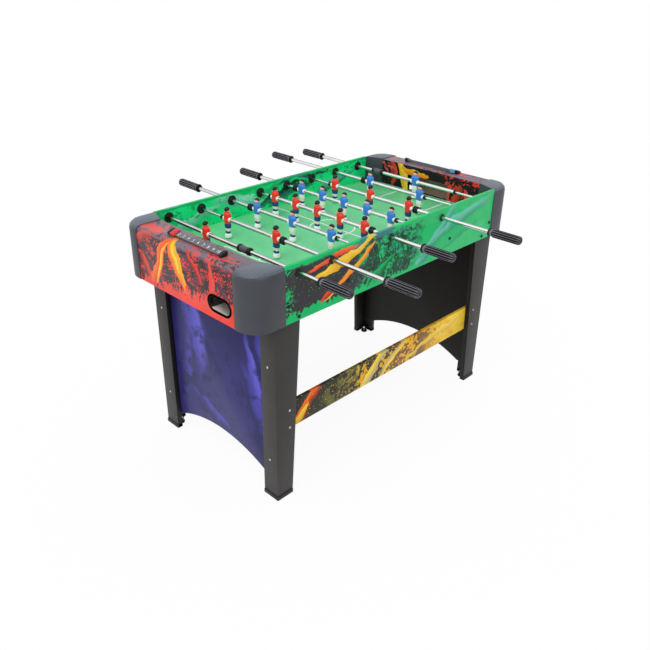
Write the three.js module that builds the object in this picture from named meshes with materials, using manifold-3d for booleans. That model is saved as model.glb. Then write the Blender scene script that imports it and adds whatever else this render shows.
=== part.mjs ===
// A four-foot foosball table: eight telescopic rods with twenty-two men over a green playfield,
// set in a box of two side panels, two wrapped end boxes and four moulded corner caps, on four
// L-section legs with two arched leg panels and two stretchers.
//
// Millimetres, +Z up. X runs along the table, Y across it, and the floor is Z = 0.
// The origin is on the floor, under the middle of the whole, grips included.
import * as THREE from "three";
import { mergeVertices } from "three/addons/utils/BufferGeometryUtils.js";
import Module from "manifold-3d";

const wasm = await Module();
wasm.setup();

// ---- Driving sizes ----------------------------------------------------------------------------

// The box
const tableLength = 1214; // over the corner caps
const tableWidth = 614; // over the corner caps
const topHeight = 779; // the panels' top edge above the floor
const apronHeight = 170; // the panels' own height
const panelThickness = 12;
const capProud = 2; // how far a cap stands out from the boards it covers
const capSpanX = 113;
const capSpanY = 81;
const capCornerRadius = 65;
const capTopRadius = 18;
const capWall = 4;

// The end boxes
const endBoxWidth = 87; // from the end board's outer face to the play area
const endBoardThickness = 12;
const endTopRadius = 22;
const goalWidth = 186;
const goalHeight = 59;
const returnWidth = 90; // the ball return's opening
const returnHeight = 40;
const returnOffset = 164; // from the middle of the end to the middle of the opening
const returnDrop = 121.5; // from the top edge to the middle of the opening
const bezelRim = 7;
const rampSlope = 0.12;
const rampThickness = 5;
const rampStopHeight = 30;
const rampReach = 12; // how far the ramp runs on past the goal's edge
const rampLip = 2; // the ramp's drop below the opening's edge

// The playfield
const fieldDepth = 94; // its surface below the top edge
const fieldThickness = 6;
const battenWidth = 24;
const battenHeight = 20;
const battenOffset = 247;

// The rods
const goalieRodInset = 73.5; // from the end box to the goalkeeper's rod
const rodAboveField = 66;
const innerRodRadius = 4;
const innerRodReach = 520; // from the far panel's inner face to the tip inside the tube
const innerRodSeat = 8; // how deep it sits in the far bearing
const tubeRadius = 6.35;
const tubeWall = 1.75;
const bearingRadius = 17;
const bearingFlange = 4;
const bearingNutRadius = 12;
const bearingNut = 3;
const slideClearance = 0.5;
const ferruleRadius = 8;
const ferruleLength = 10;
const bumperRadius = 12;
const bumperLength = 14;
const goalieBumperLength = 50;
const goalieBumperOffset = 156; // from the goalkeeper's middle
const goalieTubeReach = 186;

// From a side panel to the outermost man of a rod whose men are centred
const defenceMargin = 178;
const attackMargin = 123;
const midfieldMargin = 87;

// From a side panel to the grip of a rod whose men are centred
const goalieGripOffset = 179;
const defenceGripOffset = 236;
const attackGripOffset = 181;
const midfieldGripOffset = 127;

// The grips
const gripLength = 110;
const gripRadius = 13.5;
const gripFlangeRadius = 14.5;
const gripFlange = 4;
const gripNeckRadius = 10;
const gripNeck = 8;
const gripEndRound = 8;
const tubeInGrip = 60; // how far the tube's bore runs on into the grip

// The men
const headRadius = 9.5;
const headAboveRod = 30; // the head's middle
const shoulderAboveRod = 24;
const waistBelowRod = 12;
const shortsBelowRod = 29;
const ankleBelowRod = 46;
const footBelowRod = 61;
const manWidth = 30;
const manDepth = 22;
const legWidth = 17;
const legDepth = 12;
const footWidth = 21;
const footLength = 22;
const handRadius = 8.2; // the hands close round the rod
const handReach = 18;
const shoulderTaper = 0.85; // the shoulders' share of the waist's size
const shortsTaper = 0.8;
const manClearance = 0.3;
const manGap = 1; // from a man's hand to the ferrule
const bumperGap = 6; // from a man's hand to the bumper

// The legs
const legWing = 62;
const legThickness = 18;
const legInsetX = 82; // the leg's outer face behind the table's end
const footLift = 4; // the leg's own end above the floor
const footCapHeight = 14;
const footCapProud = 2;
const levelerRadius = 13;
const levelerPad = 6;
const levelerStemRadius = 4;
const levelerStem = 20;
const levelerInset = 14; // from the leg's inner faces to the middle of the leveler
const bracketThickness = 4;
const bracketHeight = 14; // its underside above the floor
const legPanelThickness = 12;
const legPanelBottom = 60;
const legPanelTop = 654;
const archRise = 56.5;
const stretcherHeight = 92;
const stretcherBottom = 235;
const stretcherThickness = 12;

// The score counters
const railLength = 248;
const railWidth = 20;
const railHeight = 8;
const railNose = 2; // the height of its outer edge
const railShoulder = 4; // the width of its flat top
const railLift = 5; // above the end box
const railInset = 33; // its outer edge behind the end board's face
const railOffset = 17; // its middle's place beside the table's
const railBracket = 12;
const markerLength = 22;
const markerWall = 2;
const markerClearance = 0.5;

const seatGap = 0.3; // between pieces that rest on or wrap round one another

// ---- Sizes that follow ------------------------------------------------------------------------

const capOuterX = tableLength / 2;
const capOuterY = tableWidth / 2;
const endOuterX = capOuterX - capProud;
const endInnerX = endOuterX - endBoxWidth;
const panelOuterY = capOuterY - capProud;
const panelInnerY = panelOuterY - panelThickness;
const panelEndX = capOuterX - capSpanX;
const endBoxEndY = capOuterY - capSpanY;
const apronBottom = topHeight - apronHeight;
const fieldTop = topHeight - fieldDepth;
const fieldBottom = fieldTop - fieldThickness;
const rodHeight = fieldTop + rodAboveField;
const rodCount = 8;
const rodSpacing = (2 * (endInnerX - goalieRodInset)) / (rodCount - 1);
const legOuterX = capOuterX - legInsetX;
const legInnerX = legOuterX - legThickness;
const legInnerY = panelInnerY - legThickness;
const legTop = fieldBottom - seatGap;
const roundSides = 12;

const colours = {
  cap: new THREE.MeshStandardMaterial({ color: 0x484a52, roughness: 0.55, metalness: 0 }),
  side: new THREE.MeshStandardMaterial({ color: 0x1fb866, roughness: 0.4, metalness: 0 }),
  end: new THREE.MeshStandardMaterial({ color: 0xc8402a, roughness: 0.4, metalness: 0 }),
  field: new THREE.MeshStandardMaterial({ color: 0x4fbf74, roughness: 0.5, metalness: 0 }),
  leg: new THREE.MeshStandardMaterial({ color: 0x3b3a38, roughness: 0.6, metalness: 0 }),
  legPanel: new THREE.MeshStandardMaterial({ color: 0x3d3a7c, roughness: 0.5, metalness: 0 }),
  stretcher: new THREE.MeshStandardMaterial({ color: 0xd9b52b, roughness: 0.5, metalness: 0 }),
  chrome: new THREE.MeshStandardMaterial({ color: 0xe4e6e8, roughness: 0.15, metalness: 1 }),
  red: new THREE.MeshStandardMaterial({ color: 0xe0341f, roughness: 0.35, metalness: 0 }),
  blue: new THREE.MeshStandardMaterial({ color: 0x3f74d6, roughness: 0.35, metalness: 0 }),
  rail: new THREE.MeshStandardMaterial({ color: 0x3a3a3e, roughness: 0.45, metalness: 0 }),
  redMarker: new THREE.MeshStandardMaterial({ color: 0xe5484a, roughness: 0.4, metalness: 0 }),
  blueMarker: new THREE.MeshStandardMaterial({ color: 0x8fb8e6, roughness: 0.4, metalness: 0 }),
};

// ---- Shapes and solids ------------------------------------------------------------------------

function solidOf(geometry) {
  geometry.deleteAttribute("normal");
  geometry.deleteAttribute("uv");
  const merged = mergeVertices(geometry, 1e-3);
  return new wasm.Manifold(
    new wasm.Mesh({
      numProp: 3,
      vertProperties: merged.attributes.position.array,
      triVerts: new Uint32Array(merged.index.array),
    }),
  );
}

function geometryOf(solid) {
  const { vertProperties, triVerts } = solid.getMesh();
  return new THREE.BufferGeometry()
    .setAttribute("position", new THREE.BufferAttribute(vertProperties, 3))
    .setIndex(new THREE.BufferAttribute(triVerts, 1));
}

function block(x0, x1, y0, y1, z0, z1) {
  const geometry = new THREE.BoxGeometry(x1 - x0, y1 - y0, z1 - z0);
  geometry.translate((x0 + x1) / 2, (y0 + y1) / 2, (z0 + z1) / 2);
  return solidOf(geometry);
}

// A closed outline from [x, y] points; a point with a third value is rounded to that radius.
function outline(points) {
  const shape = new THREE.Shape();
  const corner = (i) => new THREE.Vector2(...points[(i + points.length) % points.length]);
  points.forEach(([x, y, radius], i) => {
    const here = new THREE.Vector2(x, y);
    if (!radius) {
      if (i === 0) shape.moveTo(x, y);
      else shape.lineTo(x, y);
      return;
    }
    const before = corner(i - 1).sub(here).setLength(radius);
    const after = corner(i + 1).sub(here).setLength(radius);
    const centre = here.clone().add(before).add(after);
    const start = here.clone().add(before);
    if (i === 0) shape.moveTo(start.x, start.y);
    else shape.lineTo(start.x, start.y);
    const from = start.sub(centre).angle();
    const to = here.clone().add(after).sub(centre).angle();
    shape.absarc(centre.x, centre.y, radius, from, to, before.cross(after) > 0);
  });
  return shape;
}

// A slot with round ends, lying along its first axis.
function stadium(width, height, x, y) {
  const radius = height / 2;
  const half = width / 2 - radius;
  const shape = new THREE.Shape();
  shape.absarc(x + half, y, radius, -Math.PI / 2, Math.PI / 2, false);
  shape.absarc(x - half, y, radius, Math.PI / 2, (3 * Math.PI) / 2, false);
  return shape;
}

function extruded(shape, depth, curveSegments = 6) {
  return new THREE.ExtrudeGeometry(shape, { depth, bevelEnabled: false, curveSegments });
}

const axisX = new THREE.Vector3(1, 0, 0);
const axisY = new THREE.Vector3(0, 1, 0);
const axisZ = new THREE.Vector3(0, 0, 1);

// The outline is in X and Y, and the solid stands between two heights.
function standing(shape, z0, z1) {
  return solidOf(extruded(shape, z1 - z0).translate(0, 0, z0));
}

// The outline is in X and Z.
function alongY(shape, y0, y1) {
  const turn = new THREE.Matrix4().makeBasis(axisX, axisZ, axisY.clone().negate());
  return solidOf(extruded(shape, y1 - y0).applyMatrix4(turn).translate(0, y1, 0));
}

// The outline is in Y and Z.
function alongX(shape, x0, x1) {
  const turn = new THREE.Matrix4().makeBasis(axisY, axisZ, axisX);
  return solidOf(extruded(shape, x1 - x0).applyMatrix4(turn).translate(x0, 0, 0));
}

function rodAlongY(radius, y0, y1, x = 0, z = 0) {
  const geometry = new THREE.CylinderGeometry(radius, radius, y1 - y0, roundSides);
  return solidOf(geometry.translate(x, (y0 + y1) / 2, z));
}

function post(radius, z0, z1, x, y, sides = roundSides) {
  const geometry = new THREE.CylinderGeometry(radius, radius, z1 - z0, sides);
  return solidOf(geometry.rotateX(Math.PI / 2).translate(x, y, (z0 + z1) / 2));
}

// A faceted hole whose flats clear a round bar by the given gap.
const boreFor = (radius, gap) => (radius + gap) / Math.cos(Math.PI / roundSides);

// ---- The table's box --------------------------------------------------------------------------

// An upright prism whose upper edge is rounded.
function roundedPrism(shape, z0, z1, radius) {
  const geometry = new THREE.ExtrudeGeometry(shape, {
    depth: z1 - z0 - radius,
    bevelThickness: radius,
    bevelSize: radius,
    bevelOffset: -radius,
    bevelSegments: 3,
    curveSegments: 6,
  });
  return solidOf(geometry.translate(0, 0, z0));
}

// The cap at the +X, +Y corner: a shell, open below, with a pocket where the leg comes up.
function cornerCap() {
  const top = topHeight + capProud;
  const deep = tableWidth;
  const plan = outline([
    [panelEndX, panelInnerY],
    [endInnerX, endBoxEndY],
    [capOuterX, endBoxEndY],
    [capOuterX, capOuterY, capCornerRadius],
    [panelEndX, capOuterY],
  ]);
  const envelope = outline([
    [0, -deep],
    [capOuterX, -deep],
    [capOuterX, capOuterY, capCornerRadius],
    [0, capOuterY],
  ]);
  const inside = outline([
    [panelEndX + capWall, panelInnerY],
    [endInnerX + capWall, endBoxEndY + capWall],
    [capOuterX - capWall, endBoxEndY + capWall],
    [capOuterX - capWall, capOuterY - capWall, capCornerRadius - capWall],
    [panelEndX + capWall, capOuterY - capWall],
  ]);
  const body = standing(plan, apronBottom, top);
  const shaped = body.intersect(roundedPrism(envelope, 0, top, capTopRadius));
  const hollow = standing(inside, 0, top - capTopRadius);
  const pocket = block(
    0, legOuterX + seatGap, 0, panelInnerY + seatGap, 0, fieldTop + seatGap,
  );
  return shaped.subtract(hollow).subtract(pocket);
}

function sidePanel() {
  return block(-panelEndX, panelEndX, panelInnerY, panelOuterY, apronBottom, topHeight);
}

// The end box at +X: a board wrapped over the top into an inner wall with the goal in it.
function endBox() {
  const inner = endInnerX + endBoardThickness;
  const outer = endOuterX - endBoardThickness;
  const under = topHeight - endBoardThickness;
  const section = outline([
    [endInnerX, apronBottom],
    [inner, apronBottom],
    [inner, under],
    [outer, under, endTopRadius - endBoardThickness],
    [outer, apronBottom],
    [endOuterX, apronBottom],
    [endOuterX, topHeight, endTopRadius],
    [endInnerX, topHeight],
  ]);
  const goal = block(
    endInnerX - 1, inner + 1, -goalWidth / 2, goalWidth / 2, fieldTop, fieldTop + goalHeight,
  );
  return alongY(section, -endBoxEndY, endBoxEndY).subtract(goal);
}

// The ball return: a sloping trough behind the goal and a bezel round its opening.
function ballReturn() {
  const height = topHeight - returnDrop;
  const opening = stadium(returnWidth, returnHeight, returnOffset, height);
  const rim = stadium(
    returnWidth + 2 * bezelRim, returnHeight + 2 * bezelRim, returnOffset, height,
  );
  const high = -goalWidth / 2 - rampReach;
  const low = endBoxEndY - rampThickness;
  const surface = (y) => height - returnHeight / 2 - rampLip + rampSlope * (returnOffset - y);
  const trough = outline([
    [high, surface(high) - rampThickness],
    [low, surface(low) - rampThickness],
    [low, surface(low) + rampStopHeight],
    [low - rampThickness, surface(low) + rampStopHeight],
    [low - rampThickness, surface(low)],
    [high + rampThickness, surface(high)],
    [high + rampThickness, surface(high) + rampStopHeight / 2],
    [high, surface(high) + rampStopHeight / 2],
  ]);
  const board = endOuterX - endBoardThickness;
  return {
    trough: alongX(trough, endInnerX + endBoardThickness, board),
    bezel: alongX(rim, board, capOuterX),
    hole: alongX(opening, board - 1, capOuterX + 1),
  };
}

function playfield() {
  const board = block(-endInnerX, endInnerX, -panelInnerY, panelInnerY, fieldBottom, fieldTop);
  return [-battenOffset, battenOffset].reduce((whole, x) => {
    const half = battenWidth / 2;
    const low = fieldBottom - battenHeight;
    return whole.add(block(x - half, x + half, -panelInnerY, panelInnerY, low, fieldBottom));
  }, board);
}

// ---- Bearings in the side panels --------------------------------------------------------------

// Both kinds are drawn for the +Y panel.
function farBearing(x) {
  const face = panelInnerY - bearingFlange;
  const bore = boreFor(innerRodRadius, slideClearance);
  return {
    added: rodAlongY(bearingRadius, face, panelInnerY, x, rodHeight),
    cut: rodAlongY(bore, face - 1, panelInnerY + innerRodSeat + seatGap, x, rodHeight),
  };
}

function handleBearing(x) {
  const face = panelInnerY - bearingFlange;
  const nut = panelOuterY + bearingNut;
  return {
    added: rodAlongY(bearingRadius, face, panelInnerY, x, rodHeight).add(
      rodAlongY(bearingNutRadius, panelOuterY, nut, x, rodHeight),
    ),
    cut: rodAlongY(boreFor(tubeRadius, slideClearance), face - 1, nut + 1, x, rodHeight),
  };
}

// ---- Rods, grips and men ----------------------------------------------------------------------

// Places along a rod are measured from the middle of its men, away from the handle.
const manMargin = { 1: panelInnerY, 2: defenceMargin, 3: attackMargin, 5: midfieldMargin };
const gripOffset = {
  1: goalieGripOffset,
  2: defenceGripOffset,
  3: attackGripOffset,
  5: midfieldGripOffset,
};
const outermostMan = (men) => panelInnerY - manMargin[men];
const handleReach = (men) => panelOuterY + gripOffset[men];
const manPlace = (men, i) => (men === 1 ? 0 : ((2 * i) / (men - 1) - 1) * outermostMan(men));

function tubeEnd(men) {
  if (men === 1) return goalieTubeReach;
  return outermostMan(men) + handReach + manGap + ferruleLength;
}

// The ends of a rod's bumper, on the handle's side.
function bumperEnds(men) {
  if (men === 1) return [-goalieBumperOffset - goalieBumperLength, -goalieBumperOffset];
  const near = outermostMan(men) + handReach + bumperGap;
  return [-near - bumperLength, -near];
}

// A tube with its grip, bumper and ferrule, turned about Y, with +Y away from the handle.
function tubeWithGrip(men) {
  const grip = -handleReach(men);
  const end = grip - gripLength;
  const neck = grip - gripFlange;
  const shoulder = neck - gripNeck;
  const bore = tubeRadius - tubeWall;
  const far = tubeEnd(men);
  const [bumperStart, bumperEnd] = bumperEnds(men);
  const profile = [
    [0, end],
    [gripRadius - gripEndRound, end],
    [gripRadius, end + gripEndRound],
    [gripRadius, shoulder],
    [gripNeckRadius, shoulder],
    [gripNeckRadius, neck],
    [gripFlangeRadius, neck],
    [gripFlangeRadius, grip],
    [tubeRadius, grip],
    [tubeRadius, bumperStart],
    [bumperRadius, bumperStart],
    [bumperRadius, bumperEnd],
    [tubeRadius, bumperEnd],
    [tubeRadius, far - ferruleLength],
    [ferruleRadius, far - ferruleLength],
    [ferruleRadius, far],
    [bore, far],
    [bore, grip - tubeInGrip],
    [0, grip - tubeInGrip],
  ];
  const points = profile.map(([radius, y]) => new THREE.Vector2(radius, y));
  return solidOf(new THREE.LatheGeometry(points, roundSides));
}

// The inner rod, from its seat in the far panel, which is towards +Y here, to its tip.
function innerRod() {
  return rodAlongY(innerRodRadius, panelInnerY - innerRodReach, panelInnerY + innerRodSeat);
}

// An eight-sided trunk section that is wider than it is deep.
function trunk(width, depth, z0, z1, taper = 1) {
  const geometry = new THREE.CylinderGeometry(taper / 2, 0.5, z1 - z0, 8);
  geometry.rotateX(Math.PI / 2).rotateZ(Math.PI / 8).scale(depth, width, 1);
  return solidOf(geometry.translate(0, 0, (z0 + z1) / 2));
}

// A man on a rod along Y through the origin, facing +X.
function man() {
  const half = (size) => size / 2;
  const fillet = 1;
  const head = new THREE.SphereGeometry(headRadius, 8, 5).rotateX(Math.PI / 2);
  const overlap = 2;
  const foot = outline([
    [half(-footLength) + fillet, -footBelowRod],
    [half(footLength) - fillet, -footBelowRod],
    [half(footLength), -footBelowRod + footLength / 3],
    [half(legDepth), -ankleBelowRod],
    [half(-legDepth), -ankleBelowRod],
    [half(-footLength), -footBelowRod + footLength / 3],
  ]);
  return trunk(manWidth, manDepth, -waistBelowRod, shoulderAboveRod, shoulderTaper)
    .add(solidOf(head.translate(0, 0, headAboveRod)))
    .add(rodAlongY(handRadius, -handReach, handReach))
    .add(
      trunk(
        manWidth * shortsTaper, manDepth * shortsTaper,
        -shortsBelowRod, -waistBelowRod + overlap,
      ),
    )
    .add(
      block(
        half(-legDepth), half(legDepth), half(-legWidth), half(legWidth),
        -ankleBelowRod - overlap, -shortsBelowRod + overlap,
      ),
    )
    .add(alongY(foot, half(-footWidth), half(footWidth)))
    .subtract(rodAlongY(boreFor(tubeRadius, manClearance), -manWidth, manWidth));
}

// ---- Legs, leg panels and stretchers ----------------------------------------------------------

// The L of a leg at the +X, +Y corner, grown outwards by an allowance.
function legOutline(grow) {
  return outline([
    [legOuterX - legWing, legInnerY],
    [legInnerX, legInnerY],
    [legInnerX, panelInnerY - legWing],
    [legOuterX + grow, panelInnerY - legWing],
    [legOuterX + grow, panelInnerY + grow],
    [legOuterX - legWing, panelInnerY + grow],
  ]);
}

// A leg with its foot cap, and the leveler on a bracket in its corner.
function leg() {
  const reach = 2 * levelerInset;
  const x = legInnerX - levelerInset;
  const y = legInnerY - levelerInset;
  const bracket = outline([
    [legInnerX, legInnerY],
    [legInnerX - reach, legInnerY],
    [legInnerX - reach, y],
    [x, legInnerY - reach],
    [legInnerX, legInnerY - reach],
  ]);
  return standing(legOutline(0), footLift, legTop)
    .add(standing(legOutline(footCapProud), footLift, footLift + footCapHeight))
    .add(standing(bracket, bracketHeight, bracketHeight + bracketThickness))
    .add(post(levelerRadius, 0, levelerPad, x, y))
    .add(post(levelerStemRadius, levelerPad, levelerPad + levelerStem, x, y, 8));
}

// The arched panel between the two legs at +X.
function legPanel() {
  const side = legInnerY;
  const span = panelInnerY - legWing;
  const radius = (span * span + archRise * archRise) / (2 * archRise);
  const lean = Math.asin(span / radius);
  const shape = new THREE.Shape();
  shape.moveTo(side, legPanelTop);
  shape.lineTo(-side, legPanelTop);
  shape.lineTo(-side, legPanelBottom);
  shape.absarc(
    0, legPanelBottom + archRise - radius, radius,
    Math.PI / 2 + lean, Math.PI / 2 - lean, true,
  );
  shape.lineTo(side, legPanelBottom);
  const turn = new THREE.Matrix4().makeBasis(axisY, axisZ, axisX);
  const geometry = extruded(shape, legPanelThickness, 16).applyMatrix4(turn);
  return solidOf(geometry.translate(legInnerX - legPanelThickness, 0, 0));
}

function stretcher() {
  const end = legInnerX - legPanelThickness;
  const top = stretcherBottom + stretcherHeight;
  return block(-end, end, legInnerY - stretcherThickness, legInnerY, stretcherBottom, top);
}

// ---- Score counters ---------------------------------------------------------------------------

// The counter bar's section at +X, in X and Z, with a face that slopes outwards.
function railSection(grow) {
  const outer = endOuterX - railInset;
  const inner = outer - railWidth;
  const low = topHeight + railLift;
  return outline([
    [inner - grow, low - grow],
    [outer + grow, low - grow],
    [outer + grow, low + railNose + grow / 2],
    [inner + railShoulder + grow / 2, low + railHeight + grow],
    [inner - grow, low + railHeight + grow],
  ]);
}

function scoreRail() {
  const grow = markerClearance + markerWall;
  const start = railOffset - railLength / 2;
  const end = railOffset + railLength / 2;
  const outer = endOuterX - railInset + grow;
  const inner = endOuterX - railInset - railWidth - grow;
  const bracket = (y) =>
    alongY(railSection(grow), y, y + railBracket).add(
      block(inner, outer, y, y + railBracket, topHeight, topHeight + railLift),
    );
  return alongY(railSection(0), start, end).add(bracket(start)).add(bracket(end - railBracket));
}

// The sliding marker, parked at the counter's -Y end.
function scoreMarker() {
  const start = railOffset - railLength / 2 + railBracket + markerClearance;
  const end = start + markerLength;
  const hole = alongY(railSection(markerClearance), start - 1, end + 1);
  return alongY(railSection(markerClearance + markerWall), start, end).subtract(hole);
}

// ---- The assembly -----------------------------------------------------------------------------

const table = new THREE.Group();

function addPiece(name, geometry, material, parent = table) {
  const mesh = new THREE.Mesh(geometry, material);
  mesh.name = name;
  parent.add(mesh);
  return mesh;
}

// The rods from the -X end. At rest the middle of each rod's men lies at this Y.
const front = -1;
const back = 1;
const rods = [
  { men: 1, team: "red", handle: front, rest: 98 },
  { men: 2, team: "red", handle: front, rest: 41 },
  { men: 3, team: "blue", handle: back, rest: -9 },
  { men: 5, team: "red", handle: front, rest: 8 },
  { men: 5, team: "blue", handle: back, rest: 8 },
  { men: 3, team: "red", handle: front, rest: 2 },
  { men: 2, team: "blue", handle: back, rest: -1 },
  { men: 1, team: "blue", handle: back, rest: 4 },
];
const rodX = (index) => (index - (rodCount - 1) / 2) * rodSpacing;

function addRods() {
  const manGeometry = geometryOf(man());
  const innerGeometry = geometryOf(innerRod());
  rods.forEach(({ men, team, handle, rest }, index) => {
    const rod = new THREE.Group();
    rod.position.set(rodX(index), 0, rodHeight);
    rod.rotation.z = handle === front ? 0 : Math.PI;
    table.add(rod);
    const slider = new THREE.Group();
    slider.position.y = -handle * rest;
    rod.add(slider);
    const name = `rod_${index + 1}`;
    addPiece(`${name}_inner_rod`, innerGeometry, colours.chrome, rod);
    addPiece(`${name}_tube`, geometryOf(tubeWithGrip(men)), colours.chrome, slider);
    for (let i = 0; i < men; i++) {
      const figure = addPiece(`${name}_man_${i + 1}`, manGeometry, colours[team], slider);
      figure.position.y = manPlace(men, i);
    }
  });
}

// A side panel with a bearing for each rod, turned about Z for the front.
function addSidePanel(side) {
  const turned = side === front ? -1 : 1;
  let body = sidePanel();
  const bearings = rods.map(({ handle }, index) => {
    const x = turned * rodX(index);
    return handle === side ? handleBearing(x) : farBearing(x);
  });
  for (const { added } of bearings) body = body.add(added);
  for (const { cut } of bearings) body = body.subtract(cut);
  const name = side === front ? "side_panel_front" : "side_panel_back";
  addPiece(name, geometryOf(body), colours.side).rotation.z = side === front ? Math.PI : 0;
}

function addEnds() {
  const { trough, bezel, hole } = ballReturn();
  const box = geometryOf(endBox().add(trough).add(bezel).subtract(hole));
  const rail = geometryOf(scoreRail());
  const marker = geometryOf(scoreMarker());
  const ends = [
    { end: "left", turn: Math.PI, mark: colours.redMarker },
    { end: "right", turn: 0, mark: colours.blueMarker },
  ];
  for (const { end, turn, mark } of ends) {
    addPiece(`end_box_${end}`, box, colours.end).rotation.z = turn;
    addPiece(`score_rail_${end}`, rail, colours.rail).rotation.z = turn;
    addPiece(`score_marker_${end}`, marker, mark).rotation.z = turn;
    addPiece(`leg_panel_${end}`, geometryOf(legPanel()), colours.legPanel).rotation.z = turn;
  }
}

function addCorners() {
  const cap = geometryOf(cornerCap());
  const post = geometryOf(leg());
  for (const [row, y] of [["front", front], ["back", back]]) {
    for (const [end, x] of [["left", -1], ["right", 1]]) {
      addPiece(`corner_cap_${row}_${end}`, cap, colours.cap).scale.set(x, y, 1);
      addPiece(`leg_${row}_${end}`, post, colours.leg).scale.set(x, y, 1);
    }
  }
}

addPiece("playfield", geometryOf(playfield()), colours.field);
addSidePanel(front);
addSidePanel(back);
addEnds();
addCorners();
addPiece("stretcher_back", geometryOf(stretcher()), colours.stretcher);
addPiece("stretcher_front", geometryOf(stretcher()), colours.stretcher).rotation.z = Math.PI;
addRods();

// How far the grips on one side stand out from the middle of the table.
function gripReach(side) {
  const handled = rods.filter(({ handle }) => handle === side);
  return Math.max(...handled.map(({ men, rest }) => handleReach(men) + gripLength + side * rest));
}
table.position.y = (gripReach(front) - gripReach(back)) / 2;

export default table;
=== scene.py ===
"""Looks of the foosball table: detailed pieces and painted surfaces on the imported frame.

Shapes are drawn in millimetres and turned into metres when they become pieces.
X runs from the left end to the right end, Y from front to back and Z up.
"""

import math

import bmesh
import bpy
from mathutils import Matrix, Vector


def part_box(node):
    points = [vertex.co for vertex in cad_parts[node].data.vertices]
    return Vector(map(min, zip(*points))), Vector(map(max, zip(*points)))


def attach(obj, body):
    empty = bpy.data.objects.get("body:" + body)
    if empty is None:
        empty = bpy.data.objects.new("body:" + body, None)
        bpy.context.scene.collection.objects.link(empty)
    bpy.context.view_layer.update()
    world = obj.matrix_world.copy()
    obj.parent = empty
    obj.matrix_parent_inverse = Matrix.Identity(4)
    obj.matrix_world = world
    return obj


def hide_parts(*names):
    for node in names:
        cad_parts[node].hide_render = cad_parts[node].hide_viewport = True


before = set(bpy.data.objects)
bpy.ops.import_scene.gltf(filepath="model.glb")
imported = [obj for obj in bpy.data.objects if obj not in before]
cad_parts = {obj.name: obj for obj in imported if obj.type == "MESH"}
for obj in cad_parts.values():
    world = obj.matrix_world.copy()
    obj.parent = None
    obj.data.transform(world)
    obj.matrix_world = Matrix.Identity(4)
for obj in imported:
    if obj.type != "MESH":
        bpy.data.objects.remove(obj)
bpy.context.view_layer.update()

MM = 0.001

# They stand a plate up, with its thickness along X or along Y.
ALONG_X = Matrix(((0, 0, 1, 0), (1, 0, 0, 0), (0, 1, 0, 0), (0, 0, 0, 1)))
ALONG_Y = Matrix(((1, 0, 0, 0), (0, 0, 1, 0), (0, 1, 0, 0), (0, 0, 0, 1)))


def box(node):
    """Lowest and highest corner of a CAD node at rest, in millimetres."""
    low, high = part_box(node)
    return low / MM, high / MM


# Places taken from the CAD frame.
FIELD_LOW, FIELD_HIGH = box("playfield")
MIDDLE_Y = (FIELD_LOW.y + FIELD_HIGH.y) / 2
FIELD_TOP = FIELD_HIGH.z
PANEL_INNER = FIELD_HIGH.y - MIDDLE_Y
END_INNER = FIELD_HIGH.x
PANEL_LOW, PANEL_HIGH = box("side_panel_front")
PANEL_END = PANEL_HIGH.x
APRON_BOTTOM = PANEL_LOW.z
TOP = PANEL_HIGH.z
ROD_Z = sum(corner.z for corner in box("rod_1_inner_rod")) / 2
LEG_TOP = box("leg_back_right")[1].z

# Sizes shared by several pieces.
BOARD = 12
PANEL_OUTER = PANEL_INNER + BOARD
END_OUTER = END_INNER + 87
TUBE_RADIUS = 6.35
TUBE_BORE = 4.6
SMOOTH_ANGLE = 35


# ---- shapes


def loft(rings, hollow=False):
    """A skin over rings of points; its ends are closed, or joined when it is hollow."""
    part = bmesh.new()
    loops = [[part.verts.new(point) for point in ring] for ring in rings]
    following = loops[1:] + loops[:1] if hollow else loops[1:]
    for lower, upper in zip(loops, following):
        for index, corner in enumerate(lower):
            after = (index + 1) % len(lower)
            part.faces.new((corner, lower[after], upper[after], upper[index]))
    if not hollow:
        part.faces.new(loops[0])
        part.faces.new(loops[-1])
    return part


def circle(radius, x, y, sides=32):
    """Points round a circle."""
    turns = [2 * math.pi * side / sides for side in range(sides)]
    return [(x + radius * math.cos(turn), y + radius * math.sin(turn)) for turn in turns]


def turned(profile, sides=32, hollow=False):
    """A round part about the Y axis from (distance along, radius) points."""
    rings = [[(x, along, z) for x, z in circle(radius, 0, 0, sides)] for along, radius in profile]
    return loft(rings, hollow)


def eased(part, edge):
    """Round the sharp edges."""
    sharp = math.radians(30)
    bmesh.ops.recalc_face_normals(part, faces=part.faces)
    edges = [side for side in part.edges
             if len(side.link_faces) == 2 and side.calc_face_angle(0) > sharp]
    bmesh.ops.bevel(part, geom=edges, offset=edge, segments=2, profile=0.5, affect="EDGES",
                    clamp_overlap=True)
    return part


def prism(points, low, high, edge=0.8):
    """An upright part with the plan given by its (x, y) points and rounded edges."""
    return eased(loft([[(x, y, z) for x, y in points] for z in (low, high)]), edge)


def board(low, high, edge=0.8):
    """A flat board between two corners."""
    points = [(low[0], low[1]), (high[0], low[1]), (high[0], high[1]), (low[0], high[1])]
    return prism(points, low[2], high[2], edge)


def plate(outlines, thickness, edge):
    """A flat board in the XY plane; outlines inside the first are cut through it."""
    curve = bpy.data.curves.new("outline", "CURVE")
    curve.dimensions = "2D"
    curve.fill_mode = "BOTH"
    curve.extrude = thickness / 2 - edge
    curve.bevel_depth = edge
    curve.bevel_resolution = 1
    curve.offset = -edge
    for points in outlines:
        spline = curve.splines.new("POLY")
        spline.points.add(len(points) - 1)
        for point, (across, up) in zip(spline.points, points):
            point.co = (across, up, 0, 1)
        spline.use_cyclic_u = True
    part = part_of(bpy.data.objects.new("outline", curve))
    bmesh.ops.remove_doubles(part, verts=part.verts, dist=0.01)
    return part


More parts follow.
